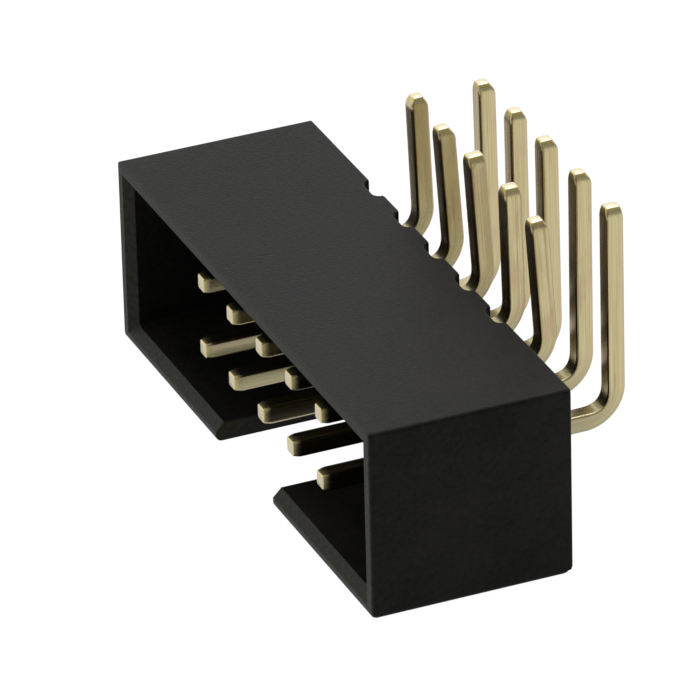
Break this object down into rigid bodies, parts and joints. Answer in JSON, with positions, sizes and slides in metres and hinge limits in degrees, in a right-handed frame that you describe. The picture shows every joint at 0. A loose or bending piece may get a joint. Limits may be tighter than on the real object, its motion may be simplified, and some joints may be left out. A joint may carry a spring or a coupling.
{
  "type": "idc box header",
  "caption": "Right-angle shrouded pin header for flat-cable sockets: a keyed moulded box round two rows of square contacts with bent solder tails.",
  "frame": {"origin": "centre of the whole part in X and Y, on the surface that it lies on", "axes": "+X along the rows, -Y out of the mouth that takes the socket, +Z towards the circuit board, the way the solder tails point"},
  "size_m": [0.0172, 0.0092, 0.008],
  "materials": {
    "moulding": "matte black glass-filled moulding",
    "plating": "pale gold plating over drawn square wire"
  },
  "bodies": {
    "root": {"housing": "moulding", "contact_upper_1": "plating", "contact_upper_2": "plating", "contact_upper_3": "plating", "contact_upper_4": "plating", "contact_upper_5": "plating", "contact_lower_1": "plating", "contact_lower_2": "plating", "contact_lower_3": "plating", "contact_lower_4": "plating", "contact_lower_5": "plating"}
  },
  "joints": []
}
